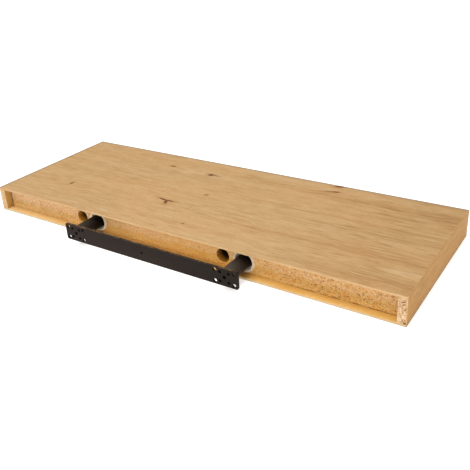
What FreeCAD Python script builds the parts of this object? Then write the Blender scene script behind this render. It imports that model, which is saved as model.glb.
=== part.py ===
import FreeCAD, Part
import math
import os

# Floating wall shelf: a hollow, oak-faced board that slides onto the two steel tubes of a wall bracket.
#
# Frame: millimetres, +Z up, +X to the right and -Y to the front for someone who faces the wall.
# The origin is the middle of the bracket plate's wall face. The bracket stays still. The board is shown
# pulled out from the wall by PULLED_OUT, and slides along Y on the tubes.

# ---- Driving dimensions: the board ----
SHELF_LENGTH = 650.0      # over the end bands
SHELF_DEPTH = 235.0       # front band to rear edge
SKIN = 3.0                # top and bottom sheets
BAND = 0.8                # edge bands on the front and the two ends
BAND_ROUND = 0.5          # rounding of the bands' outer edges
END_STRIP = 10.0          # width of the chipboard strip inside each end band
FRONT_RAIL = 20.0         # depth of the front rail
REAR_RAIL = 40.0          # depth of the rear rail
RECESS = 11.0             # depth of the open channel behind the rear rail
BATTEN_WIDTH = 60.0       # cross battens that carry the sleeves
SPARE_SHIFT = 31.0        # spare hole, to the right of its sleeve
SPARE_DEPTH = 32.0        # blind depth of a spare hole
CELL = 25.0               # honeycomb cell, flat to flat
PAPER = 0.6               # honeycomb wall
PULLED_OUT = 33.0         # rear edge of the board to the wall

# ---- Driving dimensions: the bracket ----
TUBE_DIAMETER = 19.0
TUBE_WALL = 1.5
TUBE_LENGTH = 120.0
TUBE_SPACING = 244.0      # between the two tube axes
BRACKET_SHIFT = 5.0       # bracket's middle, to the right of the board's middle
PLATE = 3.0               # plate thickness
PLATE_OVERHANG = 19.0     # plate end beyond the tube axis
PLATE_CLEARANCE = 4.0     # plate's long edges to the skins when it sits in the recess
PLATE_CORNER = 2.5        # corner radius of the plate
SCREW_HOLE = 5.5          # wall screw holes
SCREW_EDGE = 4.3          # screw hole axis to the plate's long edge
SCREW_TUBE_GAP = 4.0      # screw hole axis beyond the tube's side
LEVEL_HOLE = 3.2          # levelling hole near the middle of the plate
LEVEL_SHIFT = 5.0         # levelling hole to the right of the plate's middle
VENT_HOLE = 5.0           # hole on the tube's axis
WELD_HOLE = 4.2           # plug weld holes over the tube's wall
WELD_DISH = 0.8           # weld surface below the plate's wall face
PLUG_HEAD = 3.0           # end plug beyond the tube's end
PLUG_STEM = 9.0           # end plug inside the tube
PLUG_STEP = 0.25          # plug head inside the tube's outline
PLUG_CHAMFER = 1.2

# ---- Driving dimensions: the sleeves ----
RUNNING_GAP = 0.06        # tube to guide bore, on the radius
MOUTH_GAP = 3.0           # tube to the sleeve's mouth, on the radius
MOUTH_LIP = 0.9           # wall left round the mouth
SLEEVE_WALL = 1.6         # wall of the guide bore and the closed end
FLANGE_LIP = 2.1          # flange beyond the sleeve's head
FLANGE = 1.2              # flange thickness
FLANGE_MARGIN = 0.5       # flange rim to the skins
FUNNEL = 6.0              # depth over which the mouth narrows to the guide bore
HEAD_LENGTH = 10.0        # wide head of the sleeve inside the rail
SEAT_GAP = 2.0            # tube's plug to the sleeve's closed end, board on the wall
GLUE_GAP = 0.05           # sleeve in its bores, on the radius

# ---- Sizes that follow ----
TUBE_R = TUBE_DIAMETER / 2
GUIDE_R = TUBE_R + RUNNING_GAP
MOUTH_R = TUBE_R + MOUTH_GAP
HEAD_R = MOUTH_R + MOUTH_LIP
BARREL_R = GUIDE_R + SLEEVE_WALL
FLANGE_R = HEAD_R + FLANGE_LIP
INNER_HEIGHT = 2 * (FLANGE_R + FLANGE_MARGIN)
SHELF_HEIGHT = INNER_HEIGHT + 2 * SKIN
PLATE_HEIGHT = INNER_HEIGHT - 2 * PLATE_CLEARANCE
PLATE_LENGTH = TUBE_SPACING + 2 * PLATE_OVERHANG

Z_IN = INNER_HEIGHT / 2
Z_OUT = SHELF_HEIGHT / 2
X_MID = -BRACKET_SHIFT
X_LOW = X_MID - SHELF_LENGTH / 2
X_HIGH = X_MID + SHELF_LENGTH / 2
Y_REAR = -PULLED_OUT
Y_FRONT = Y_REAR - SHELF_DEPTH
Y_RAIL = Y_REAR - RECESS
Y_CORE_REAR = Y_RAIL - REAR_RAIL
Y_CORE_FRONT = Y_FRONT + BAND + FRONT_RAIL
X_STRIP_LOW = X_LOW + BAND + END_STRIP
X_STRIP_HIGH = X_HIGH - BAND - END_STRIP

TUBE_REACH = PLATE + TUBE_LENGTH + PLUG_HEAD
SLEEVE_DEPTH = TUBE_REACH - RECESS + SEAT_GAP

TINY = 1e-6
SIDES = {"left": -TUBE_SPACING / 2, "right": TUBE_SPACING / 2}
Y_AXIS = FreeCAD.Vector(0, 1, 0)


def block(x0, x1, y0, y1, z0, z1):
    """A box between two corners."""
    return Part.makeBox(x1 - x0, y1 - y0, z1 - z0, FreeCAD.Vector(x0, y0, z0))


def rod(x, z, radius, y_start, y_end):
    """A round bar along Y between two ends, in either order."""
    low = min(y_start, y_end)
    return Part.makeCylinder(radius, abs(y_end - y_start), FreeCAD.Vector(x, low, z), Y_AXIS)


def turned(x, profile):
    """A solid turned about the line x, z=0 along Y from (radius, y) corners."""
    corners = [FreeCAD.Vector(x + radius, y, 0) for radius, y in profile]
    outline = Part.makePolygon(corners + [corners[0]])
    return Part.Face(outline).revolve(FreeCAD.Vector(x, 0, 0), Y_AXIS, 360)


# ---- The board ----

def skin(z_low):
    """One face sheet of the board, between the edge bands."""
    return block(X_LOW + BAND, X_HIGH - BAND, Y_FRONT + BAND, Y_REAR, z_low, z_low + SKIN)


def rounded_off(band, on_outer_face):
    """A band with the edges of its outer face rounded."""
    edges = [e for e in band.Edges if all(on_outer_face(v) for v in e.Vertexes)]
    return band.makeFillet(BAND_ROUND, edges)


def front_edge_band():
    """The front band, rounded along its top and bottom and butted against the end bands."""
    band = block(X_LOW, X_HIGH, Y_FRONT, Y_FRONT + BAND, -Z_OUT, Z_OUT)
    band = rounded_off(band, lambda v: abs(v.Y - Y_FRONT) < TINY)
    return band.common(block(X_LOW + BAND, X_HIGH - BAND, Y_FRONT, Y_FRONT + BAND, -Z_OUT, Z_OUT))


def end_band(x_low, x_outer):
    """An end band between x_low and x_low + BAND, rounded round its outer face."""
    band = block(x_low, x_low + BAND, Y_FRONT, Y_REAR, -Z_OUT, Z_OUT)
    return rounded_off(band, lambda v: abs(v.X - x_outer) < TINY)


def end_strip(x_low):
    return block(x_low, x_low + END_STRIP, Y_FRONT + BAND, Y_REAR, -Z_IN, Z_IN)


def front_rail():
    return block(X_STRIP_LOW, X_STRIP_HIGH, Y_FRONT + BAND, Y_CORE_FRONT, -Z_IN, Z_IN)


def sleeve_bore(x):
    """The stepped hole that a sleeve is glued into, from the rail's face inwards."""
    head = rod(x, 0, HEAD_R + GLUE_GAP, Y_RAIL, Y_RAIL - HEAD_LENGTH - GLUE_GAP)
    barrel = rod(x, 0, BARREL_R + GLUE_GAP, Y_RAIL, Y_RAIL - SLEEVE_DEPTH - SLEEVE_WALL - GLUE_GAP)
    return head.fuse(barrel)


def rear_rail():
    """The rail that faces the wall, with two sleeve holes and two spare blind holes."""
    rail = block(X_STRIP_LOW, X_STRIP_HIGH, Y_CORE_REAR, Y_RAIL, -Z_IN, Z_IN)
    for x in SIDES.values():
        rail = rail.cut(sleeve_bore(x))
        rail = rail.cut(rod(x + SPARE_SHIFT, 0, TUBE_R, Y_RAIL, Y_RAIL - SPARE_DEPTH))
    return rail


def batten(x):
    """A cross batten between the rails, bored for the inner end of its sleeve."""
    half = BATTEN_WIDTH / 2
    return block(x - half, x + half, Y_CORE_FRONT, Y_CORE_REAR, -Z_IN, Z_IN).cut(sleeve_bore(x))


def clip(points, axis, limit, keep_above):
    """A polygon's part on one side of a line across one axis."""
    side = 1 if keep_above else -1
    kept = []
    for start, end in zip(points, points[1:] + points[:1]):
        start_in = side * (start[axis] - limit) >= 0
        end_in = side * (end[axis] - limit) >= 0
        if start_in:
            kept.append(start)
        if start_in != end_in and abs(start[axis] - limit) > TINY and abs(end[axis] - limit) > TINY:
            share = (limit - start[axis]) / (end[axis] - start[axis])
            kept.append(tuple(a + share * (b - a) for a, b in zip(start, end)))
    return kept


def area(points):
    """A polygon's area by the shoelace formula."""
    pairs = zip(points, points[1:] + points[:1])
    return abs(sum(a[0] * b[1] - b[0] * a[1] for a, b in pairs)) / 2


def wire(points, z):
    corners = [FreeCAD.Vector(x, y, z) for x, y in points]
    return Part.makePolygon(corners + [corners[0]])


def honeycomb(x0, x1):
    """Paper honeycomb that fills one compartment, with a closed paper edge all round."""
    y0 = Y_CORE_FRONT
    y1 = Y_CORE_REAR
    corner_r = (CELL - PAPER) / math.sqrt(3)
    row_step = CELL * math.sqrt(3) / 2
    smallest = CELL * PAPER
    cells = []
    for row in range(int((y1 - y0) / row_step) + 2):
        for column in range(int((x1 - x0) / CELL) + 2):
            x = x0 + CELL * (column + row % 2 / 2)
            y = y0 + row_step * row
            turns = [math.radians(30 + 60 * k) for k in range(6)]
            cell = [(x + corner_r * math.cos(a), y + corner_r * math.sin(a)) for a in turns]
            for axis, low, high in ((0, x0, x1), (1, y0, y1)):
                cell = clip(cell, axis, low + PAPER, True)
                cell = clip(cell, axis, high - PAPER, False)
            if len(cell) > 2 and area(cell) > smallest:
                cells.append(wire(cell, -Z_IN))
    edge = wire([(x0, y0), (x1, y0), (x1, y1), (x0, y1)], -Z_IN)
    sheet = Part.makeFace([edge] + cells, "Part::FaceMakerBullseye")
    return sheet.Faces[0].extrude(FreeCAD.Vector(0, 0, INNER_HEIGHT))


def rod_sleeve(x):
    """A flanged plastic sleeve with a funnel mouth and a closed inner end."""
    rim = FLANGE / 3
    y_face = Y_RAIL + FLANGE
    y_end = Y_RAIL - SLEEVE_DEPTH
    profile = [
        (MOUTH_R, y_face),
        (FLANGE_R - rim, y_face),
        (FLANGE_R, y_face - rim),
        (FLANGE_R, Y_RAIL),
        (HEAD_R, Y_RAIL),
        (HEAD_R, Y_RAIL - HEAD_LENGTH),
        (BARREL_R, Y_RAIL - HEAD_LENGTH),
        (BARREL_R, y_end - SLEEVE_WALL),
        (0, y_end - SLEEVE_WALL),
        (0, y_end),
        (GUIDE_R, y_end),
        (GUIDE_R, y_face - FUNNEL),
    ]
    return turned(x, profile)


# ---- The bracket ----

def weld_places():
    """Plug weld centres: four over the wall of each tube."""
    ring = TUBE_R - TUBE_WALL / 2
    places = []
    for x in SIDES.values():
        for k in range(4):
            turn = math.radians(45 + 90 * k)
            places.append((x + ring * math.cos(turn), ring * math.sin(turn)))
    return places


def screw_places():
    """Wall screw centres: a rectangle of four round each tube."""
    across = TUBE_R + SCREW_TUBE_GAP
    up = PLATE_HEIGHT / 2 - SCREW_EDGE
    return [(x + sx * across, sz * up) for x in SIDES.values() for sx in (-1, 1) for sz in (-1, 1)]


def bracket_plate():
    half = PLATE_LENGTH / 2
    plate = block(-half, half, -PLATE, 0, -PLATE_HEIGHT / 2, PLATE_HEIGHT / 2)
    corners = [e for e in plate.Edges if abs(e.tangentAt(e.FirstParameter).y) > 0.99]
    plate = plate.makeFillet(PLATE_CORNER, corners)
    holes = [(x, z, SCREW_HOLE) for x, z in screw_places()]
    holes += [(x, z, WELD_HOLE) for x, z in weld_places()]
    holes += [(x, 0, VENT_HOLE) for x in SIDES.values()]
    holes.append((LEVEL_SHIFT, 0, LEVEL_HOLE))
    for x, z, diameter in holes:
        plate = plate.cut(rod(x, z, diameter / 2, -PLATE, 0))
    return plate


def tube(x):
    y_end = -PLATE - TUBE_LENGTH
    return rod(x, 0, TUBE_R, -PLATE, y_end).cut(rod(x, 0, TUBE_R - TUBE_WALL, -PLATE, y_end))


def tube_plug(x):
    """A plastic plug that closes a tube's free end and leads it into the sleeve."""
    y_tube = -PLATE - TUBE_LENGTH
    y_tip = y_tube - PLUG_HEAD
    head_r = TUBE_R - PLUG_STEP
    stem_r = TUBE_R - TUBE_WALL
    profile = [
        (0, y_tip),
        (head_r - PLUG_CHAMFER, y_tip),
        (head_r, y_tip + PLUG_CHAMFER),
        (head_r, y_tube),
        (stem_r, y_tube),
        (stem_r, y_tube + PLUG_STEM),
        (0, y_tube + PLUG_STEM),
    ]
    return turned(x, profile)


def tube_welds():
    """Plug welds that hold the tubes, each a little below the plate's wall face."""
    return Part.makeCompound([rod(x, z, WELD_HOLE / 2, -PLATE, -WELD_DISH) for x, z in weld_places()])


# ---- All pieces ----

def pieces():
    """Every node's shape, by name."""
    half = BATTEN_WIDTH / 2
    found = {
        "top_skin": skin(Z_IN),
        "bottom_skin": skin(-Z_OUT),
        "front_edge_band": front_edge_band(),
        "end_band_left": end_band(X_LOW, X_LOW),
        "end_band_right": end_band(X_HIGH - BAND, X_HIGH),
        "end_strip_left": end_strip(X_LOW + BAND),
        "end_strip_right": end_strip(X_STRIP_HIGH),
        "front_rail": front_rail(),
        "rear_rail": rear_rail(),
        "core_left": honeycomb(X_STRIP_LOW, SIDES["left"] - half),
        "core_center": honeycomb(SIDES["left"] + half, SIDES["right"] - half),
        "core_right": honeycomb(SIDES["right"] + half, X_STRIP_HIGH),
        "bracket_plate": bracket_plate(),
        "tube_welds": tube_welds(),
    }
    for side, x in SIDES.items():
        found["batten_" + side] = batten(x)
        found["rod_sleeve_" + side] = rod_sleeve(x)
        found["tube_" + side] = tube(x)
        found["tube_plug_" + side] = tube_plug(x)
    return found


os.makedirs("parts", exist_ok=True)
for name, shape in pieces().items():
    shape.exportStep("parts/" + name + ".step")
    print(name, "solids", len(shape.Solids), "valid", shape.isValid(), "cm3", round(shape.Volume / 1000, 2))
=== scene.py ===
"""Looks of the floating wall shelf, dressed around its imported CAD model.

Lengths in the materials are millimetres in the row frame: +X right and -Y front for someone who faces
the wall, +Z up. Colours are written as 8-bit sRGB triples, and tints as the factors that a colour is
multiplied by.
"""

import math

import bpy
from mathutils import Euler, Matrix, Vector


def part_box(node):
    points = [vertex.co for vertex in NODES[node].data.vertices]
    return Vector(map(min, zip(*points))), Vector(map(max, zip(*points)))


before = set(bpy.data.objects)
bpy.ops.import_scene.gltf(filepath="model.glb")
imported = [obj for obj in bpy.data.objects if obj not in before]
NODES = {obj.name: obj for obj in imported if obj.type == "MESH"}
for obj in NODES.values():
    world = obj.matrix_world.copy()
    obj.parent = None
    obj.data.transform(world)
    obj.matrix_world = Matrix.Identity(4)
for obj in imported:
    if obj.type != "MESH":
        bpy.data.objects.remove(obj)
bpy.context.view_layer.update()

MM = 0.001

# ---------------------------------------------------------------- the board's own places, in millimetres
DECOR_FILM = 0.25  # printed oak face on each sheet
FILM_BLEND = 0.03  # depth over which one layer of a sheet passes into the next
SHEET = (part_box("top_skin")[1].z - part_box("top_skin")[0].z) / MM
SHEET_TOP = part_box("top_skin")[1].z / MM
SHEET_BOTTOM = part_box("bottom_skin")[0].z / MM

BOARD_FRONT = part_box("front_edge_band")[0].y / MM
BOARD_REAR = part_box("end_band_left")[1].y / MM
BOARD_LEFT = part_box("end_band_left")[0].x / MM
BOARD_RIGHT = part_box("end_band_right")[1].x / MM
RAIL_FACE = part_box("rear_rail")[1].y / MM
RAIL_BOTTOM = SHEET - SHEET_TOP  # top of the bottom sheet: the board is even about z = 0
RAIL_ENDS = (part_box("rear_rail")[0].x / MM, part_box("rear_rail")[1].x / MM)
PLATE_LOW, PLATE_HIGH = (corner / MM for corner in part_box("bracket_plate"))
SPARE_HOLES = (-91.0, 153.0)  # x of the two spare holes in the rear rail
SPARE_RADIUS = 9.5

# Knots and cracks in the top sheet: x, y, half length, half width, turn in degrees, darkness
TOP_KNOTS = (
    (45.6, -219.5, 5.6, 3.6, 10, 1.0),
    (37.0, -220.0, 7.5, 1.7, -5, 0.65),
    (122.6, -223.9, 5.0, 2.4, 7, 0.85),
    (225.3, -97.2, 5.0, 2.3, 82, 0.80),
    (56.5, -113.3, 9.0, 1.9, -10, 1.0),
    (45.5, -112.8, 10.0, 1.9, -1, 0.95),
    (47.6, -107.6, 5.8, 2.7, -60, 1.0),
    (-16.0, -62.7, 2.0, 1.5, 0, 0.70),
    (8.5, -153.5, 3.0, 1.8, 30, 0.85),
    (-146.0, -242.2, 13.0, 2.0, 16, 0.50),
    (-152.5, -244.2, 6.5, 2.2, 16, 0.90),
    (-150.3, -264.0, 7.5, 2.8, 21, 1.0),
)
# Darker grain bands of the top sheet:
# y, half width, x where the band has grown to half its strength, strength
TOP_BANDS = (
    (-229.0, 15.0, 20.0, 0.10),
    (-217.0, 5.0, -120.0, 0.10),
    (-172.0, 6.0, -20.0, 0.10),
    (-96.5, 6.0, -60.0, 0.09),
    (-45.0, 9.0, -120.0, 0.06),
)
# Pointed arches of paler grain that open towards -X:
# x and y of the tip, half width, length from the tip to where they are that wide, strength
TOP_ARCHES = (
    (-272.0, -73.0, 8.5, 57.0, 0.14),
    (-236.0, -134.0, 12.0, 90.0, 0.06),
    (118.0, -70.0, 6.0, 120.0, 0.05),
)
# Knots and cracks in the bottom sheet, as above
BOTTOM_KNOTS = (
    (-212.0, -176.0, 4.2, 2.6, 12, 0.85),
    (96.0, -84.0, 3.0, 2.0, -20, 0.75),
    (258.0, -205.0, 9.0, 1.2, 6, 0.60),
)


# ---------------------------------------------------------------- short calls for shader nodes
def srgb(red, green, blue):
    """An 8-bit sRGB colour as Blender's linear RGBA."""
    def linear(value):
        value /= 255
        return value / 12.92 if value <= 0.04045 else ((value + 0.055) / 1.055) ** 2.4
    return (linear(red), linear(green), linear(blue), 1.0)


class Shader:
    """One material with a Principled surface, and short calls for the nodes that feed it."""

    # The mix node's two inputs and its result, for each kind of data
    MIX_SOCKETS = {"RGBA": (6, 7, 2), "VECTOR": (4, 5, 1)}

    def __init__(self, name):
        self.material = bpy.data.materials.new(name)
        self.material.use_nodes = True
        self.tree = self.material.node_tree
        self.tree.nodes.clear()
        self.surface = self.node("ShaderNodeBsdfPrincipled")
        output = self.node("ShaderNodeOutputMaterial")
        self.tree.links.new(self.surface.outputs["BSDF"], output.inputs["Surface"])
        place = self.node("ShaderNodeTexCoord").outputs["Object"]
        self.mm = self.vector("SCALE", place, scale=1 / MM)
        self.x, self.y, self.z = self.split(self.mm)
        self.axes = {"x": self.x, "y": self.y, "z": self.z}

    def node(self, kind, **settings):
        node = self.tree.nodes.new(kind)
        for name, value in settings.items():
            setattr(node, name, value)
        return node

    def feed(self, socket, value):
        """Links a socket to a node's output, or sets it to a fixed value."""
        if isinstance(value, bpy.types.NodeSocket):
            self.tree.links.new(value, socket)
        else:
            socket.default_value = value

    def math(self, operation, *values, clamp=False):
        node = self.node("ShaderNodeMath", operation=operation, use_clamp=clamp)
        for socket, value in zip(node.inputs, values):
            self.feed(socket, value)
        return node.outputs[0]

    def vector(self, operation, *values, scale=None):
        node = self.node("ShaderNodeVectorMath", operation=operation)
        for socket, value in zip(node.inputs, values):
            self.feed(socket, value)
        if scale is not None:
            self.feed(node.inputs["Scale"], scale)
        return node.outputs["Value" if operation in ("LENGTH", "DISTANCE") else "Vector"]

    def split(self, vector):
        node = self.node("ShaderNodeSeparateXYZ")
        self.feed(node.inputs[0], vector)
        return node.outputs[0], node.outputs[1], node.outputs[2]

    def join(self, x, y, z):
        node = self.node("ShaderNodeCombineXYZ")
        for socket, value in zip(node.inputs, (x, y, z)):
            self.feed(socket, value)
        return node.outputs[0]

    def away(self, value, place):
        """How far a value is from a place, to either side."""
        return self.math("ABSOLUTE", self.math("SUBTRACT", value, place))

    def blend(self, share, a, b):
        """a where the share is 0, b where it is 1, and some of both in between."""
        rest = self.math("MULTIPLY", a, self.math("SUBTRACT", 1.0, share))
        return self.math("ADD", rest, self.math("MULTIPLY", b, share))

    def swing(self, pattern, span):
        """A pattern of 0 to 1, turned into a change of tone that spans as much above 0 as below."""
        return self.math("MULTIPLY_ADD", pattern, span, -span / 2)

    def sized(self, sizes, vector=None, offset=(0, 0, 0)):
        """The place in units of the given feature sizes, moved by an offset that picks another pattern."""
        scaled = self.vector("DIVIDE", vector or self.mm, sizes)
        return self.vector("ADD", scaled, offset)

    def noise(self, vector, detail, roughness=0.55, output="Fac"):
        node = self.node("ShaderNodeTexNoise", noise_dimensions="3D")
        self.feed(node.inputs["Vector"], vector)
        node.inputs["Scale"].default_value = 1.0
        node.inputs["Detail"].default_value = detail
        node.inputs["Roughness"].default_value = roughness
        return node.outputs[output]

    def cells(self, vector, feature, output):
        node = self.node("ShaderNodeTexVoronoi", feature=feature, voronoi_dimensions="3D")
        self.feed(node.inputs["Vector"], vector)
        node.inputs["Scale"].default_value = 1.0
        return node.outputs[output]

    def cell_value(self, vector, channel):
        """One random value for each cell. The channels 0, 1 and 2 give different ones."""
        return self.split(self.cells(vector, "F1", "Color"))[channel]

    def cell_edge(self, vector):
        """How far a place is from the edge of its cell."""
        return self.cells(vector, "DISTANCE_TO_EDGE", "Distance")

    def ramp(self, value, low, high, to_low=0.0, to_high=1.0, smooth=True):
        """to_low at low, to_high at high, and no further beyond them. low may lie above high."""
        node = self.node("ShaderNodeMapRange", clamp=True)
        node.interpolation_type = "SMOOTHSTEP" if smooth else "LINEAR"
        for socket, item in zip(node.inputs, (value, low, high, to_low, to_high)):
            self.feed(socket, item)
        return node.outputs[0]

    def mix(self, factor, a, b, mode="MIX", kind="RGBA"):
        """a, with b over it as far as the factor says."""
        node = self.node("ShaderNodeMix", data_type=kind, blend_type=mode, clamp_factor=True)
        first, second, result = self.MIX_SOCKETS[kind]
        self.feed(node.inputs["Factor"], factor)
        self.feed(node.inputs[first], a)
        self.feed(node.inputs[second], b)
        return node.outputs[result]

    def tint(self, share, colour, factors):
        """The colour, multiplied by the factors as far as the share says."""
        return self.mix(share, colour, (*factors, 1.0), "MULTIPLY")

    def colours(self, value, *stops):
        """A colour ramp; each stop is (position, sRGB triple)."""
        node = self.node("ShaderNodeValToRGB")
        elements = node.color_ramp.elements
        elements.remove(elements[1])
        elements[0].position = stops[0][0]
        elements[0].color = srgb(*stops[0][1])
        for position, colour in stops[1:]:
            elements.new(position).color = srgb(*colour)
        self.feed(node.inputs[0], value)
        return node.outputs[0]

    def bump(self, height, distance):
        """Bump from a height of 0 to 1, whose full step stands for a distance in millimetres."""
        node = self.node("ShaderNodeBump")
        node.inputs["Strength"].default_value = 1.0
        node.inputs["Distance"].default_value = distance * MM
        self.feed(node.inputs["Height"], height)
        return node.outputs[0]

    def finish(self, colour, roughness, normal, specular=0.5):
        """Feeds the surface and gives back the material."""
        self.feed(self.surface.inputs["Base Color"], colour)
        self.feed(self.surface.inputs["Roughness"], roughness)
        self.feed(self.surface.inputs["Normal"], normal)
        self.surface.inputs["Specular IOR Level"].default_value = specular
        return self.material


# ---------------------------------------------------------------- oak
# Colours from the darkest tone of the grain to the palest, and where in its range they stand
OAK_FACE = ((131, 91, 48), (168, 127, 77), (188, 151, 103), (201, 168, 123), (215, 189, 148))
OAK_BAND = ((139, 90, 32), (178, 126, 54), (200, 147, 73), (215, 166, 87), (230, 185, 106))
OAK_TONES = (0.0, 0.30, 0.52, 0.78, 1.0)
WARM_OAK = srgb(198, 144, 88)
PORE_BROWN = srgb(124, 82, 42)
KNOT_CORE = srgb(88, 42, 0)
KNOT_HALO = srgb(152, 100, 46)

KNOT_DEPTH = 1000  # so deep that only the place along the sheet counts
KNOT_RAGGEDNESS = 0.9  # how much the outline strays, in units of the knot's size
CORE_RIM = (1.62, 0.85)  # ragged distance where a knot's core sets in, and where it is full
HALO_RIM = (3.0, 1.2)  # the same for its halo
HALO_SHARE = 0.50  # the halo's strength as a part of the core's

GRAIN_SWAY = 14.0  # how far the grain wanders over a quarter of a metre
GRAIN_RIPPLE = 4.0  # how far it wanders over some centimetres
RING_WIDTH = 6.1  # from one growth ring to the next
RING_DRIFT = 14.0  # radians by which the rings close up and spread
RING_SPAN = 0.06  # most that a ring adds to the tone
BAND_GROWTH = 70  # from a band's half strength to its full one
ARCH_LINE_SHARE = 0.7  # how dark an arch's outline is, as a part of how pale its inside is
WARMTH = 0.18  # largest share of the warm oak colour
PORE_COVER = 0.38  # how much of the colour under it a pore hides
PORE_SINK = 0.6  # how deep a pore lies, as a part of the oak's relief
OAK_ROUGHNESS = (0.50, 0.60)


def knot_mask(shader, knots, face):
    """Darkness of the knots and cracks near a place, and a wider halo round them."""
    dark, halo = 0.0, 0.0
    rough_edge = shader.noise(shader.sized((1.6, 1.6, 1.6)), detail=2)
    for x, y, half_length, half_width, turn, darkness in knots:
        local = shader.node("ShaderNodeMapping", vector_type="TEXTURE")
        shader.feed(local.inputs["Vector"], shader.mm)
        local.inputs["Location"].default_value = (x, y, face)
        local.inputs["Rotation"].default_value = (0, 0, math.radians(turn))
        local.inputs["Scale"].default_value = (half_length, half_width, KNOT_DEPTH)
        distance = shader.vector("LENGTH", local.outputs[0])
        ragged = shader.math("MULTIPLY_ADD", rough_edge, KNOT_RAGGEDNESS, distance)
        core = shader.ramp(ragged, *CORE_RIM, 0.0, darkness)
        dark = shader.math("MAXIMUM", core, dark)
        ring = shader.ramp(ragged, *HALO_RIM, 0.0, HALO_SHARE * darkness)
        halo = shader.math("MAXIMUM", ring, halo)
    return dark, halo


def dark_band(shader, along, across, middle, half_width, start, strength):
    """How much one darker grain band takes from the tone."""
    grown = shader.ramp(along, start + BAND_GROWTH, start - BAND_GROWTH, 0.0, strength)
    return shader.math("MULTIPLY", shader.ramp(shader.away(across, middle), half_width, 0.0), grown)


def pale_arch(shader, along, across, tip, middle, half_width, length, strength):
    """How much one pointed arch adds to the tone: it is pale inside and has a darker outline."""
    aside = shader.math("DIVIDE", shader.math("SUBTRACT", across, middle), half_width)
    inward = shader.math("DIVIDE", shader.math("SUBTRACT", along, tip), length)
    rim = shader.math("ADD", shader.math("MULTIPLY", aside, aside), inward)
    pale = shader.ramp(rim, 0.05, -0.35, 0.0, strength)
    outline = shader.ramp(shader.math("ABSOLUTE", rim), 0.22, 0.0, 0.0, ARCH_LINE_SHARE * strength)
    return shader.math("SUBTRACT", pale, outline)


def oak_print(shader, along, across, depth, seed, palette, dark_bands=(), arches=(), drift=None):
    """Light oak: its colour, its pores and its fibres, from a place along, across and in depth.

    drift is a slow change of tone that is added to the grain.
    """
    place = shader.join(along, across, depth)
    sway = shader.noise(shader.sized((260, 40, 40), place, (seed, 0, 0)), detail=2)
    wavy = shader.math("SUBTRACT", across, GRAIN_SWAY / 2)
    wavy = shader.math("MULTIPLY_ADD", sway, GRAIN_SWAY, wavy)
    ripple = shader.noise(shader.sized((80, 12, 40), place, (0, seed, 0)), detail=2)
    wavy = shader.math("SUBTRACT", wavy, GRAIN_RIPPLE / 2)
    wavy = shader.math("MULTIPLY_ADD", ripple, GRAIN_RIPPLE, wavy)
    lines = shader.join(along, wavy, depth)

    bands = shader.noise(shader.sized((300, 17, 60), lines, (seed, 3, 1)), detail=2, roughness=0.5)
    streaks = shader.noise(shader.sized((95, 3.1, 20), lines, (1, seed, 5)), detail=3, roughness=0.6)
    fibres = shader.noise(shader.sized((22, 0.66, 5), lines, (5, 1, seed)), detail=3, roughness=0.6)
    dashes = shader.noise(shader.sized((32, 1.7, 6), lines, (2, seed, 9)), detail=2, roughness=0.6)
    mottle = shader.noise(shader.sized((26, 12, 9), place, (4, seed, 4)), detail=3, roughness=0.6)
    tone = shader.swing(bands, 0.32)
    for pattern, span in ((streaks, 0.34), (fibres, 0.62), (dashes, 0.70), (mottle, 0.20)):
        tone = shader.math("ADD", tone, shader.swing(pattern, span))

    uneven = shader.noise(shader.sized((400, 9, 60), lines, (6, 6, seed)), detail=1)
    turns = shader.math("MULTIPLY", wavy, 2 * math.pi / RING_WIDTH)
    ring = shader.math("SINE", shader.math("MULTIPLY_ADD", uneven, RING_DRIFT, turns))
    ring_zone = shader.noise(shader.sized((170, 42, 60), place, (seed, seed, 2)), detail=1)
    ring_zone = shader.ramp(ring_zone, 0.45, 0.75, 0.0, RING_SPAN)
    tone = shader.math("ADD", tone, shader.math("MULTIPLY", ring, ring_zone))

    for band in dark_bands:
        tone = shader.math("SUBTRACT", tone, dark_band(shader, along, wavy, *band))
    for arch in arches:
        tone = shader.math("ADD", tone, pale_arch(shader, along, wavy, *arch))
    if drift is not None:
        tone = shader.math("ADD", tone, drift)
    tone = shader.math("ADD", tone, 0.5, clamp=True)
    colour = shader.colours(tone, *zip(OAK_TONES, palette))
    warmth = shader.noise(shader.sized((120, 60, 60), place, (seed, 8, 8)), detail=2)
    colour = shader.mix(shader.ramp(warmth, 0.35, 0.7, 0.0, WARMTH), colour, WARM_OAK)

    pores = shader.noise(shader.sized((6.5, 0.32, 2), lines, (seed, 7, 3)), detail=1, roughness=0.4)
    pore_level = shader.ramp(ring, -0.4, 0.9, 0.66, 0.60)
    pore = shader.ramp(pores, pore_level, shader.math("ADD", pore_level, 0.07))
    colour = shader.mix(shader.math("MULTIPLY", pore, PORE_COVER), colour, PORE_BROWN)
    return colour, pore, fibres


def oak_surface(shader, pore, fibres):
    """Height of the fibres and the open pores, and the roughness of the oak print."""
    relief = shader.math("MULTIPLY_ADD", fibres, 0.25, 0.75)
    relief = shader.math("SUBTRACT", relief, shader.math("MULTIPLY", pore, PORE_SINK))
    return relief, shader.ramp(fibres, 0.3, 0.7, *OAK_ROUGHNESS)


# ---------------------------------------------------------------- sheets and edge bands
CUT_EDGE = ((0.2, (195, 160, 113)), (0.45, (209, 175, 129)), (0.8, (222, 197, 157)))
INNER_FACE = ((0.2, (210, 155, 78)), (0.45, (229, 183, 100)), (0.8, (240, 209, 137)))
LIT_INNER_FACE = srgb(237, 206, 154)
SPECK_BROWN = srgb(150, 98, 44)
FRONT_RIM_SHADE = srgb(140, 124, 104)
RIGHT_RIM_SHADE = srgb(134, 118, 96)
SAWN_PALE = srgb(226, 191, 146)
EDGE_SHADE_BROWN = srgb(112, 94, 68)
TOP_EDGE_SHADE = srgb(196, 158, 110)
LEFT_TOP_EDGE_SHADE = srgb(184, 143, 94)

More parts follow.
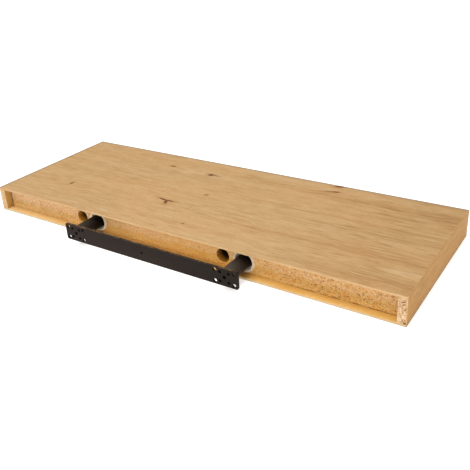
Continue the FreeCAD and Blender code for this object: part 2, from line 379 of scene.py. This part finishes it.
MIDDLE = 5.0  # x that the tones of the middle are centred on
MIDDLE_REACH = (150, 112)  # how far from there they have ended, and up to where they are full
OAK_BUMP = 0.05
RAW_BUMP = 0.18
KNOT_SINK = 0.2  # how deep a knot lies, as a part of the oak's relief
PORE_ROUGHER = 0.15  # how much rougher than the oak round it a pore is
RAW_ROUGHER = 0.28  # how much rougher than the oak print the raw fibreboard is
SPECK_COVER = 0.25  # how much of the colour under it a speck of the raw fibreboard hides
SHEET_SPECULAR = 0.32
BAND_SPECULAR = 0.12


def middle_share(shader):
    """1 over most of the bracket's length, fading to 0 about its ends."""
    return shader.ramp(shader.away(shader.x, MIDDLE), *MIDDLE_REACH)


def fibreboard(shader, buried, edge_tint):
    """Raw 3 mm sheet: pale pressed layers at the cut edge, golden on the inner face (buried is 1 there)."""
    fluff = shader.noise(shader.sized((2.6, 1.4, 0.28)), detail=4, roughness=0.65)
    specks = shader.noise(shader.sized((0.8, 0.8, 0.35), offset=(4, 4, 4)), detail=2)
    clouds = shader.noise(shader.sized((38, 14, 8), offset=(7, 2, 2)), detail=2)
    tone = shader.math("MULTIPLY_ADD", fluff, 0.5, -0.02)
    tone = shader.math("MULTIPLY_ADD", clouds, 0.5, tone)
    # painted light: the cut edge is lit paler over the bracket's length, where the bracket shades it
    edge = shader.tint(middle_share(shader), shader.colours(tone, *CUT_EDGE), (1.30, 1.27, 1.08))
    edge = shader.mix(1.0, edge, edge_tint, "MULTIPLY")
    # painted light: the inner face grows paler towards the right end
    lit_inner = shader.ramp(shader.x, 60, 280, 0.0, 0.62)
    inner = shader.mix(lit_inner, shader.colours(tone, *INNER_FACE), LIT_INNER_FACE)
    colour = shader.mix(buried, edge, inner)
    speck = shader.ramp(specks, 0.63, 0.74)
    return shader.mix(shader.math("MULTIPLY", speck, SPECK_COVER), colour, SPECK_BROWN), fluff


def upper_edge_tint(shader):
    """Tint of the top sheet's cut edge: warm, with painted light that makes the middle palest, and dull at
    the right end.
    """
    tint = shader.mix(middle_share(shader), (0.95, 0.87, 0.79, 1.0), (1.03, 1.01, 1.09, 1.0))
    return shader.mix(shader.ramp(shader.x, 190, 240), tint, (0.84, 0.77, 0.72, 1.0))


def lower_edge_tint(shader):
    """Tint of the bottom sheet's cut edge, cooler towards the right end."""
    return shader.mix(shader.ramp(shader.x, -50, 150), (0.94, 0.98, 1.04, 1.0), (0.89, 1.03, 1.28, 1.0))


def shaded_rims(shader, colour):
    """Painted shade: greyer oak along the sheet's front edge and its right end."""
    front = shader.ramp(shader.y, BOARD_FRONT + 7.0, BOARD_FRONT + 2.0, 0.0, 0.60)
    right = shader.ramp(shader.x, BOARD_RIGHT - 7.0, BOARD_RIGHT - 3.0, 0.0, 0.55)
    return shader.mix(right, shader.mix(front, colour, FRONT_RIM_SHADE), RIGHT_RIM_SHADE)


def sheet_material(name, decor_side, knots, bands, arches, seed):
    """Fibreboard sheet with an oak film on the side that decor_side (+1 up, -1 down) names."""
    shader = Shader(name)
    face = SHEET_TOP if decor_side > 0 else SHEET_BOTTOM
    # paler in the middle than at the right end, and darkest at the left end
    middle_pale = shader.ramp(shader.x, 180, 40, 0.0, 0.035)
    left_dark = shader.ramp(shader.x, -130, -290, 0.0, -0.095)
    drift = shader.math("ADD", middle_pale, left_dark)
    oak_colour, pore, fibres = oak_print(shader, shader.x, shader.y, shader.z, seed, OAK_FACE,
                                         bands, arches, drift)
    # painted shade along the front edge and the right end
    oak_colour = shaded_rims(shader, oak_colour)
    dark, halo = knot_mask(shader, knots, face)
    oak_colour = shader.mix(halo, oak_colour, KNOT_HALO)
    oak_colour = shader.mix(dark, oak_colour, KNOT_CORE)

    # 0 on the oak side, and down to -SHEET on the inner face
    depth = shader.math("MULTIPLY_ADD", shader.z, decor_side, -abs(face))
    film = shader.ramp(depth, -DECOR_FILM - FILM_BLEND, -DECOR_FILM)
    buried = shader.ramp(depth, 2 * FILM_BLEND - SHEET, FILM_BLEND - SHEET)
    edge_tint = upper_edge_tint(shader) if decor_side > 0 else lower_edge_tint(shader)
    raw_colour, fluff = fibreboard(shader, buried, edge_tint)
    colour = shader.mix(film, raw_colour, oak_colour)

    relief, rough = oak_surface(shader, pore, fibres)
    relief = shader.math("SUBTRACT", relief, shader.math("MULTIPLY", dark, KNOT_SINK))
    oak_normal = shader.bump(relief, OAK_BUMP)
    raw_normal = shader.bump(fluff, RAW_BUMP)
    normal = shader.mix(film, raw_normal, oak_normal, kind="VECTOR")
    rough = shader.math("MULTIPLY_ADD", pore, PORE_ROUGHER, rough)
    rough = shader.math("ADD", rough, shader.math("MULTIPLY_ADD", film, -RAW_ROUGHER, RAW_ROUGHER))
    return shader.finish(colour, rough, normal, specular=SHEET_SPECULAR)


def band_material(name, along, through, seed, top_line_share=0.0, top_edge_shade=TOP_EDGE_SHADE, cut_share=0.75):
    """Oak edge band whose grain runs along one named axis and which is thin through the other.

    top_line_share is how dark the painted shade along its top edge is, and cut_share how pale its cut rear
    end.
    """
    shader = Shader(name)
    depth = shader.axes[through]
    colour, pore, fibres = oak_print(shader, shader.axes[along], shader.z, depth, seed, OAK_BAND)
    # painted shade: dims the highlight on the band's rounded top edge
    rounded_shade = shader.ramp(shader.z, SHEET_TOP - 0.9, SHEET_TOP - 0.3, 0.0, 0.75)
    colour = shader.mix(rounded_shade, colour, top_edge_shade)
    cut = shader.ramp(shader.y, BOARD_REAR - 0.5, BOARD_REAR - 0.1, 0.0, cut_share)
    colour = shader.mix(cut, colour, SAWN_PALE)
    # painted shade: darker lines along the top edge, along the foot and near the front
    top_edge = shader.ramp(shader.z, SHEET_TOP - 0.7, SHEET_TOP - 0.4, 0.0, top_line_share)
    foot = shader.ramp(shader.z, SHEET_BOTTOM + 2.2, SHEET_BOTTOM + 0.8, 0.0, 0.7)
    corner = shader.ramp(shader.y, BOARD_FRONT + 3.4, BOARD_FRONT + 1.4, 0.0, 0.7)
    edge_shade = shader.math("MAXIMUM", top_edge, shader.math("MAXIMUM", foot, corner))
    colour = shader.mix(edge_shade, colour, EDGE_SHADE_BROWN)
    relief, rough = oak_surface(shader, pore, fibres)
    return shader.finish(colour, rough, shader.bump(relief, OAK_BUMP), specular=BAND_SPECULAR)


# ---------------------------------------------------------------- masks for the chipboard
def glue_line(shader):
    """Darker squeezed glue along the rail's foot and up its two ends."""
    foot = shader.ramp(shader.z, RAIL_BOTTOM + 1.5, RAIL_BOTTOM + 0.4)
    broken = shader.noise(shader.sized((13, 9, 9), offset=(3, 1, 6)), detail=3)
    share = shader.ramp(shader.x, -215, -165, 0.8, 0.12)
    share = shader.math("MULTIPLY", share, shader.ramp(broken, 0.38, 0.6, 0.1, 1.0))
    foot = shader.math("MULTIPLY", foot, share)
    ends = 0.0
    for x in RAIL_ENDS:
        ends = shader.math("MAXIMUM", ends, shader.ramp(shader.away(shader.x, x), 2.8, 1.2))
    return shader.math("MAXIMUM", foot, ends)


def board_ends(shader):
    """0 in the middle of the board's length and 1 near its two ends, where the chipboard gets painted
    shade.
    """
    drift = shader.noise(shader.sized((60, 60, 20), offset=(1, 9, 4)), detail=2)
    reach = shader.math("MULTIPLY_ADD", drift, 60, shader.math("ABSOLUTE", shader.x))
    return shader.ramp(reach, 130, 210)


def shaded_strip_sides(shader):
    """The inner sides of the end strips, 1 there and 0 on their rear ends; painted shade goes there."""
    side = 0.0
    for x in RAIL_ENDS:
        side = shader.math("MAXIMUM", side, shader.ramp(shader.away(shader.x, x), 0.12, 0.04))
    return side


def corner_bruise(shader):
    """A knock at the lower rear corner of the left end."""
    corner = (BOARD_LEFT + 1.9, BOARD_REAR, SHEET_BOTTOM + 3.6)
    away = shader.vector("DISTANCE", shader.mm, corner)
    return shader.ramp(away, 3.0, 1.4)


def bore_wall(shader):
    """1 on the walls of the rail's spare holes and 0 elsewhere."""
    inside = 0.0
    for x in SPARE_HOLES:
        away = shader.vector("LENGTH", shader.join(shader.math("SUBTRACT", shader.x, x), 0.0, shader.z))
        inside = shader.math("MAXIMUM", inside, shader.ramp(away, SPARE_RADIUS + 0.5, SPARE_RADIUS + 0.3))
    return shader.math("MULTIPLY", inside, shader.ramp(shader.y, RAIL_FACE - 0.1, RAIL_FACE - 0.5))


def right_bore_wall(shader):
    """The walls of the right spare hole alone."""
    return shader.math("MULTIPLY", bore_wall(shader), shader.ramp(shader.x, 60, 120))


def bore_depth(shader):
    """How deep a place lies in one of the rail's spare holes: 0 outside, and 1 from 14 mm down."""
    # painted shade: the spare holes' walls darken with depth
    depth = shader.ramp(shader.y, RAIL_FACE - 2.0, RAIL_FACE - 14.0, 0.24, 1.0)
    return shader.math("MULTIPLY", bore_wall(shader), depth)


def rail_foot(shader):
    """The lower half of the rail's height."""
    return shader.ramp(shader.z, 1, -6)


def rail_head(shader):
    """A narrow strip under the top sheet."""
    return shader.ramp(shader.z, 10.5, 15.5)


def foot_of_ends(shader):
    """The rail's lowest strip near the two ends of the board."""
    return shader.math("MULTIPLY", shader.ramp(shader.z, -7, -13), board_ends(shader))


def foot_of_middle(shader):
    """The rail's lower half over most of the bracket's length."""
    return shader.math("MULTIPLY", shader.ramp(shader.z, -1, -7), middle_share(shader))


def amber_patches(shader):
    """Loose amber patches near the rail's foot."""
    patches = shader.noise(shader.sized((13, 11, 5), offset=(3, 7, 1)), detail=2)
    return shader.math("MULTIPLY", shader.ramp(patches, 0.50, 0.66), shader.ramp(shader.z, 3, -5))


def right_half(shader):
    """The right half of the rail, with a soft border."""
    return shader.ramp(shader.x, -60, 30)


def right_end(shader):
    """The rail's right end, with a soft border."""
    return shader.ramp(shader.x, 160, 220)


def beside_right_tube(shader):
    """The part of the rail between the bracket's middle and its right tube."""
    return shader.math("MULTIPLY", shader.ramp(shader.x, 55, 85), shader.ramp(shader.x, 135, 115))


# Slow changes of tone over the rear rail, several of them painted light and shade: where they show, and the
# tint
RAIL_TINTS = (
    # painted light: golden light reflected from the lip onto the rail's lower half
    (rail_foot, (0.96, 0.92, 0.70)),
    # painted shadow under the top sheet's overhang
    (rail_head, (0.87, 0.88, 0.90)),
    # painted light on the rail's foot near the ends
    (foot_of_ends, (1.19, 1.24, 1.24)),
    # painted light: golden light reflected from the lip along the bracket
    (foot_of_middle, (1.00, 0.98, 0.90)),
    (amber_patches, (1.04, 0.93, 0.76)),
    (right_half, (1.0, 1.03, 1.22)),
    (right_end, (0.94, 0.965, 1.03)),
    # painted shadow on the rail beside the right tube
    (beside_right_tube, (0.88, 0.88, 0.84)),
    (bore_wall, (1.05, 0.93, 0.50)),
    # painted light: the right spare hole's walls paler than the left one's
    (right_bore_wall, (1.36, 1.32, 1.0)),
)

# ---------------------------------------------------------------- chipboard
# Colours of the chips, each with its place in their range of tones
RAIL_CHIPS = (
    (0.10, (196, 138, 76)),
    (0.34, (230, 175, 107)),
    (0.60, (248, 202, 134)),
    (0.86, (255, 226, 172)),
)
LEFT_STRIP_CHIPS = (
    (0.10, (152, 104, 60)),
    (0.32, (233, 189, 133)),
    (0.60, (251, 215, 167)),
    (0.90, (255, 241, 208)),
)
RIGHT_STRIP_CHIPS = (
    (0.10, (198, 151, 102)),
    (0.32, (224, 182, 131)),
    (0.60, (234, 194, 146)),
    (0.90, (245, 215, 168)),
)
CHIP_MIDDLE = 0.47  # middle of the chips' range of tones
CALM_SPREAD = 0.62  # how much of that range is left in calm places
FLAKE_BROWN = srgb(128, 70, 24)
PALE_CHIP = srgb(255, 236, 200)
CREASE_BROWN = srgb(142, 94, 52)
COARSE_TINT = (0.93, 0.92, 0.93)
BOARD_END_SHADE = (0.79, 0.79, 0.82)
COARSE_BLEND = 35  # half the length over which the coarse part sets in
COARSE_FLAKES = 0.3  # how much more the dark flakes cover in the coarse part
PALE_COVER = 0.55  # how much of the colour under it a pale chip of the coarse part hides
FLAT_CHIP = 0.42  # a chip's thickness as a part of its length, lying flat
STEEP_CHIP = 0.34  # and lying steeply
STEEP_TURN = (0.5, 0.9, 0.4)  # radians
CHIP_BUMP = 0.14
CHIP_SPECULAR = 0.1
SHADED_SIDE_GOLD = srgb(188, 149, 72)
GLUE_BROWN = srgb(98, 58, 24)
BORE_SHADE_BROWN = srgb(38, 20, 5)
BRUISE_BROWN = srgb(84, 56, 34)


def chipboard_material(name, colours, chip, seed, dark_share, flake_depth, crease_depth, marks=(), tints=(),
                       coarse_end=None, calm=None):
    """Particleboard: pressed chips of many tones, with the odd dark flake and a fine gap between them.

    chip is the length of a chip. marks holds (mask function, colour, most cover) for glue and for painted
    shade in the drilled holes and on the end strips' inner sides, and tints holds (mask function, tint). On
    the -X side of coarse_end the board is darker, with more dark and pale chips. Where the mask function
    calm is 1 the chips are closer in tone.
    """
    shader = Shader(name)
    bend = shader.sized((chip * 1.3,) * 3, offset=(seed, 0, 0))
    bend = shader.noise(bend, detail=2, roughness=0.5, output="Color")
    shift = shader.vector("SUBTRACT", bend, (0.5, 0.5, 0.5))
    place = shader.vector("ADD", shader.mm, shader.vector("SCALE", shift, scale=chip * 1.1))

    # two lattices of chips, one of them lying steeply, take turns from place to place
    flat = shader.sized((chip, chip, chip * FLAT_CHIP), place, (seed, 1, 2))
    tilted = shader.node("ShaderNodeMapping", vector_type="POINT")
    shader.feed(tilted.inputs["Vector"], place)
    tilted.inputs["Rotation"].default_value = STEEP_TURN
    steep = shader.sized((chip * 0.9, chip, chip * STEEP_CHIP), tilted.outputs[0], (3, seed, 4))
    pick = shader.noise(shader.sized((chip * 1.6,) * 3, offset=(2, 2, seed)), detail=1)
    pick = shader.ramp(pick, 0.46, 0.54)
    tone = shader.blend(pick, shader.cell_value(flat, 0), shader.cell_value(steep, 0))
    gap = shader.blend(pick, shader.cell_edge(flat), shader.cell_edge(steep))

    fines = shader.noise(shader.sized((0.45, 0.45, 0.25), offset=(9, seed, 9)), detail=3, roughness=0.7)
    tone = shader.math("MULTIPLY_ADD", fines, 0.5, shader.math("MULTIPLY_ADD", tone, 0.6, -0.08))
    clouds = shader.noise(shader.sized((22, 22, 9), offset=(seed, 5, 5)), detail=2)
    tone = shader.math("ADD", tone, shader.swing(clouds, 0.3), clamp=True)
    spread = 1.0
    if calm is not None:
        spread = shader.ramp(calm(shader), 0.0, 1.0, 1.0, CALM_SPREAD, smooth=False)
    shown = shader.math("SUBTRACT", tone, CHIP_MIDDLE)
    shown = shader.math("MULTIPLY_ADD", shown, spread, CHIP_MIDDLE)
    colour = shader.colours(shown, *colours)

    coarse = 0.0
    if coarse_end is not None:
        coarse = shader.ramp(shader.x, coarse_end + COARSE_BLEND, coarse_end - COARSE_BLEND)
    flake = shader.cell_value(shader.sized((chip * 0.9, chip, chip * 0.5), place, (8, 8, seed)), 1)
    flake = shader.ramp(flake, 1.0 - dark_share, 1.0 - 0.7 * dark_share)
    flake_cover = shader.math("MULTIPLY_ADD", coarse, COARSE_FLAKES, flake_depth)
    flake_cover = shader.math("MULTIPLY", flake, flake_cover)
    flake_cover = shader.math("MULTIPLY", flake_cover, spread)
    colour = shader.mix(flake_cover, colour, FLAKE_BROWN)
    pale = shader.cell_value(shader.sized((chip * 0.8, chip, chip * 0.5), place, (5, seed, 6)), 2)
    pale = shader.math("MULTIPLY", shader.ramp(pale, 0.90, 0.94, 0.0, PALE_COVER), coarse)
    colour = shader.mix(pale, colour, PALE_CHIP)
    colour = shader.tint(coarse, colour, COARSE_TINT)
    crease = shader.math("MULTIPLY", shader.ramp(gap, 0.10, 0.0), crease_depth)
    colour = shader.mix(crease, colour, CREASE_BROWN)
    # painted shade: darker near the board's two ends, matching the bracket's shade over the middle
    colour = shader.tint(board_ends(shader), colour, BOARD_END_SHADE)
    for mask, tint in tints:
        colour = shader.tint(mask(shader), colour, tint)
    for mask, mark, cover in marks:
        colour = shader.mix(shader.math("MULTIPLY", mask(shader), cover), colour, mark)
    height = shader.math("MULTIPLY_ADD", tone, 0.5, shader.ramp(gap, 0.0, 0.25, 0.0, 0.5))
    rough = shader.ramp(fines, 0.3, 0.7, 0.78, 0.92)
    return shader.finish(colour, rough, shader.bump(height, CHIP_BUMP), specular=CHIP_SPECULAR)


# ---------------------------------------------------------------- card and plastic
CARD_BROWNS = ((0.3, (128, 92, 58)), (0.5, (160, 120, 80)), (0.7, (188, 150, 108)))
SLEEVE_CREAMS = ((0.3, (222, 197, 166)), (0.5, (231, 209, 181)), (0.7, (238, 221, 197)))
SCUFF_GREY = srgb(176, 160, 142)


def card_material(name):
    """Kraft honeycomb card: brown fibres with pale and dark shreds."""
    shader = Shader(name)
    fibres = shader.noise(shader.sized((3.5, 3.5, 0.5)), detail=4, roughness=0.7)
    clouds = shader.noise(shader.sized((18, 18, 12), offset=(3, 3, 3)), detail=2)
    tone = shader.math("MULTIPLY_ADD", clouds, 0.5, shader.math("MULTIPLY", fibres, 0.5))
    rough = shader.ramp(fibres, 0.3, 0.7, 0.8, 0.95)
    return shader.finish(shader.colours(tone, *CARD_BROWNS), rough, shader.bump(fibres, 0.06))


def sleeve_material(name):
    """Moulded cream plastic: faintly satin, a little uneven in tone, with greyer scuffs."""
    shader = Shader(name)
    grain = shader.noise(shader.sized((0.35, 0.35, 0.35)), detail=2)
    flow = shader.noise(shader.sized((9, 30, 9), offset=(2, 6, 1)), detail=3)
    tone = shader.math("MULTIPLY_ADD", grain, 0.25, shader.math("MULTIPLY", flow, 0.75))
    scuff = shader.noise(shader.sized((1.2, 5, 1.2), offset=(5, 5, 2)), detail=3, roughness=0.7)
    scuff = shader.ramp(scuff, 0.58, 0.75, 0.0, 0.35)
    colour = shader.mix(scuff, shader.colours(tone, *SLEEVE_CREAMS), SCUFF_GREY)
    rough = shader.ramp(flow, 0.3, 0.7, 0.36, 0.5)
    return shader.finish(colour, rough, shader.bump(grain, 0.03))


# ---------------------------------------------------------------- black coats
def plate_left(shader):
    """The plate's left end, with a long border."""
    return shader.ramp(shader.x, -10, -105)


def plate_foot(shader):
    """The plate's lower half, fading out from its middle to its left end."""
    return shader.math("MULTIPLY", shader.ramp(shader.z, 3, -6), shader.ramp(shader.x, -70, 20))


def right_tube(shader):
    """1 on the right tube and 0 on the left one."""
    return shader.ramp(shader.x, -10, 10)


# Slow changes of tone over the bracket, with painted shade on the right tube: where they show, and the tint
PLATE_TINTS = (
    (plate_left, (0.80, 0.84, 0.88)),
    (plate_foot, (1.20, 1.20, 1.26)),
)
# painted shade: the right tube darker than the left one
TUBE_SHADE_TINTS = ((right_tube, (0.58, 0.56, 0.54)),)
EDGE_REFLECTION_BROWN = srgb(118, 92, 62)
HIGHLIGHT_GREY = srgb(78, 70, 61)
DUST = srgb(120, 108, 94)
HIGHLIGHT_LENGTH = 28  # how far from its full strength the painted highlight reaches along a tube
COAT_BUMP = 0.05


def coat_material(name, dark, light, seed, rough, gloss, edges=(), highlight_from=None, tints=()):
    """Black coat: a fine orange peel, faint dust, and a patchy painted reflection of the wood along the
    named edges.

    edges holds (axis, place, reach): the painted reflection lies within reach of that place along that
    axis.
    highlight_from is the y from which the coat is fully greyed by a painted highlight. rough holds the
    least and the most roughness, and tints holds (mask function, tint).
    """
    shader = Shader(name)
    peel = shader.noise(shader.sized((0.9, 0.9, 0.9), offset=(seed, 1, 1)), detail=2, roughness=0.5)
    fine = shader.noise(shader.sized((0.22, 0.22, 0.22), offset=(1, seed, 1)), detail=2)
    clouds = shader.noise(shader.sized((34, 34, 14), offset=(1, 1, seed)), detail=3)
    tone = shader.math("MULTIPLY_ADD", fine, 0.35, shader.math("MULTIPLY", clouds, 0.65))
    colour = shader.mix(shader.ramp(tone, 0.35, 0.65), srgb(*dark), srgb(*light))
    # painted reflection of the wood along the named edges, made patchy
    edge_reflection = 0.0
    for axis, place, reach in edges:
        near = shader.ramp(shader.away(shader.axes[axis], place), reach, 0.0)
        edge_reflection = shader.math("MAXIMUM", near, edge_reflection)
    if edges:
        patchy = shader.noise(shader.sized((5, 5, 5), offset=(6, seed, 2)), detail=3, roughness=0.65)
        edge_reflection = shader.math("MULTIPLY", edge_reflection, shader.ramp(patchy, 0.40, 0.66, 0.15, 0.8))
        colour = shader.mix(edge_reflection, colour, EDGE_REFLECTION_BROWN)
    if highlight_from is not None:
        # painted highlight: the tube greys towards the plate
        highlight = shader.ramp(shader.y, highlight_from - HIGHLIGHT_LENGTH, highlight_from, 0.0, 0.9, smooth=False)
        colour = shader.mix(highlight, colour, HIGHLIGHT_GREY)
    for mask, tint in tints:
        colour = shader.tint(mask(shader), colour, tint)
    dust = shader.noise(shader.sized((0.7, 0.7, 0.7), offset=(seed, seed, 7)), detail=2)
    colour = shader.mix(shader.ramp(dust, 0.70, 0.80, 0.0, 0.25), colour, DUST)
    height = shader.math("MULTIPLY_ADD", fine, 0.3, shader.math("MULTIPLY", peel, 0.7))
    roughness = shader.ramp(clouds, 0.3, 0.7, *rough)
    return shader.finish(colour, roughness, shader.bump(height, COAT_BUMP), specular=gloss)


# ---------------------------------------------------------------- what each node wears
def dress():
    """Gives each CAD node its material."""
    rail_marks = ((glue_line, GLUE_BROWN, 0.8), (bore_depth, BORE_SHADE_BROWN, 0.97))
    # painted shade on the end strips' inner sides
    shaded_sides = ((shaded_strip_sides, SHADED_SIDE_GOLD, 0.8),)
    shaded_sides_and_bruise = shaded_sides + ((corner_bruise, BRUISE_BROWN, 0.88),)
    rail = chipboard_material("chipboard_rail", RAIL_CHIPS, chip=1.9, seed=2.0, dark_share=0.05,
                              flake_depth=0.45, crease_depth=0.25, marks=rail_marks, tints=RAIL_TINTS,
                              coarse_end=-155, calm=middle_share)
    hidden = chipboard_material("chipboard_batten", RAIL_CHIPS, chip=1.9, seed=7.0, dark_share=0.05,
                                flake_depth=0.5, crease_depth=0.22)
    left_strip = chipboard_material("chipboard_strip_left", LEFT_STRIP_CHIPS, chip=2.6, seed=5.0,
                                    dark_share=0.17, flake_depth=0.7, crease_depth=0.36, marks=shaded_sides_and_bruise)
    right_strip = chipboard_material("chipboard_strip_right", RIGHT_STRIP_CHIPS, chip=2.2, seed=8.0,
                                     dark_share=0.05, flake_depth=0.4, crease_depth=0.2, marks=shaded_sides)
    card = card_material("honeycomb_card")
    sleeve = sleeve_material("sleeve_plastic")
    plate_edges = (("z", PLATE_HIGH.z, 0.45), ("z", PLATE_LOW.z, 0.45))
    plate = coat_material("powder_coat", (31, 22, 17), (41, 31, 24), seed=1.0, rough=(0.50, 0.62),
                          gloss=0.09, edges=plate_edges, tints=PLATE_TINTS)
    weld = coat_material("weld_black", (5, 4, 4), (9, 8, 7), seed=9.0, rough=(0.60, 0.75), gloss=0.03)
    tube = coat_material("tube_enamel", (4, 3, 3), (8, 7, 6), seed=4.0, rough=(0.34, 0.46), gloss=0.10,
                         highlight_from=-8.0, tints=TUBE_SHADE_TINTS)
    plug = coat_material("black_plastic", (24, 24, 24), (34, 33, 32), seed=7.0, rough=(0.40, 0.50),
                         gloss=0.4)
    finishes = {
        "top_skin": sheet_material("oak_sheet_top", 1, TOP_KNOTS, TOP_BANDS, TOP_ARCHES, seed=3.7),
        "bottom_skin": sheet_material("oak_sheet_bottom", -1, BOTTOM_KNOTS, (), (), seed=9.2),
        "front_edge_band": band_material("oak_band_front", "x", "y", seed=6.1, top_line_share=0.85),
        "end_band_left": band_material("oak_band_left", "y", "x", seed=12.4,
                                       top_edge_shade=LEFT_TOP_EDGE_SHADE, cut_share=0.35),
        "end_band_right": band_material("oak_band_right", "y", "x", seed=15.8, top_line_share=0.85),
        "front_rail": hidden, "rear_rail": rail,
        "end_strip_left": left_strip, "end_strip_right": right_strip,
        "batten_left": hidden, "batten_right": hidden,
        "core_left": card, "core_center": card, "core_right": card,
        "rod_sleeve_left": sleeve, "rod_sleeve_right": sleeve,
        "bracket_plate": plate, "tube_welds": weld,
        "tube_left": tube, "tube_right": tube,
        "tube_plug_left": plug, "tube_plug_right": plug,
    }
    for name, material in finishes.items():
        NODES[name].data.materials.clear()
        NODES[name].data.materials.append(material)


# ---------------------------------------------------------------- floor, light and camera
# Lengths here are metres, but for GLOW_RISE, which is in the material's millimetres
FLOOR_REACH = 14.0
FLOOR_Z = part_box("bottom_skin")[0].z
FLOOR_GREYS = (srgb(224, 224, 224), srgb(229, 229, 228))
FLOOR_ROUGHNESS = 0.9
WHITE = (1.0, 1.0, 1.0, 1.0)
FLOOR_GLOW = 0.62  # the floor is a shooting table that glows softly
FAR_FLOOR_GLOW = 0.80  # far from the part, where the softboxes hardly reach
GLOW_RISE = (1500, 3000)  # from the origin: where the glow starts to grow, and where it is full

WORLD_STRENGTH = 0.33
LIGHT_AIM = (0, -0.1, 0)
# Name, place, diameter and power in watts
SOFTBOXES = (
    ("overhead_softbox", (0.3, 0.2, 2.2), 2.0, 50),
    ("rear_softbox", (-0.2, 2.1, 1.2), 1.8, 18),
)

CAMERA_PLACE = (-0.49869, 0.53378, 0.39625)
CAMERA_TURN = (65.1143, 3.3740, -146.1303)  # degrees
SENSOR_WIDTH = 36.0  # mm, as is the lens
LENS = 49.40
SHIFT = (0.0375, -0.0626)  # of the lens axis, in widths of the picture
VIEW_DEPTH = 100.0


def floor_material(name):
    """Plain pale studio floor, matt, with a tone that drifts very slightly."""
    shader = Shader(name)
    drift = shader.noise(shader.sized((700, 700, 700)), detail=2)
    colour = shader.mix(drift, *FLOOR_GREYS)
    tooth = shader.noise(shader.sized((1.5, 1.5, 1.5)), detail=2)
    away = shader.vector("LENGTH", shader.join(shader.x, shader.y, 0.0))
    glow = shader.ramp(away, *GLOW_RISE, FLOOR_GLOW, FAR_FLOOR_GLOW)
    shader.feed(shader.surface.inputs["Emission Color"], WHITE)
    shader.feed(shader.surface.inputs["Emission Strength"], glow)
    return shader.finish(colour, FLOOR_ROUGHNESS, shader.bump(tooth, 0.02))


def make_floor():
    mesh = bpy.data.meshes.new("floor")
    r = FLOOR_REACH
    corners = [(-r, -r, FLOOR_Z), (r, -r, FLOOR_Z), (r, r, FLOOR_Z), (-r, r, FLOOR_Z)]
    mesh.from_pydata(corners, [], [(0, 1, 2, 3)])
    mesh.materials.append(floor_material("studio_floor"))
    floor = bpy.data.objects.new("floor", mesh)
    bpy.context.scene.collection.objects.link(floor)


def soft_light(name, place, size, power):
    data = bpy.data.lights.new(name, "AREA")
    data.shape = "DISK"
    data.size = size
    data.energy = power
    light = bpy.data.objects.new(name, data)
    light.location = place
    light.rotation_euler = (Vector(LIGHT_AIM) - Vector(place)).to_track_quat("-Z", "Y").to_euler()
    bpy.context.scene.collection.objects.link(light)


def make_light():
    world = bpy.data.worlds.new("studio")
    world.use_nodes = True
    background = world.node_tree.nodes["Background"]
    background.inputs["Color"].default_value = WHITE
    background.inputs["Strength"].default_value = WORLD_STRENGTH
    bpy.context.scene.world = world
    for softbox in SOFTBOXES:
        soft_light(*softbox)


def make_camera():
    data = bpy.data.cameras.new("camera")
    data.sensor_width = SENSOR_WIDTH
    data.lens = LENS
    data.shift_x, data.shift_y = SHIFT
    data.clip_end = VIEW_DEPTH
    camera = bpy.data.objects.new("camera", data)
    camera.location = CAMERA_PLACE
    camera.rotation_euler = Euler([math.radians(angle) for angle in CAMERA_TURN], "XYZ")
    bpy.context.scene.collection.objects.link(camera)
    bpy.context.scene.camera = camera


dress()
make_floor()
make_light()
make_camera()
bpy.context.scene.view_settings.view_transform = "Standard"
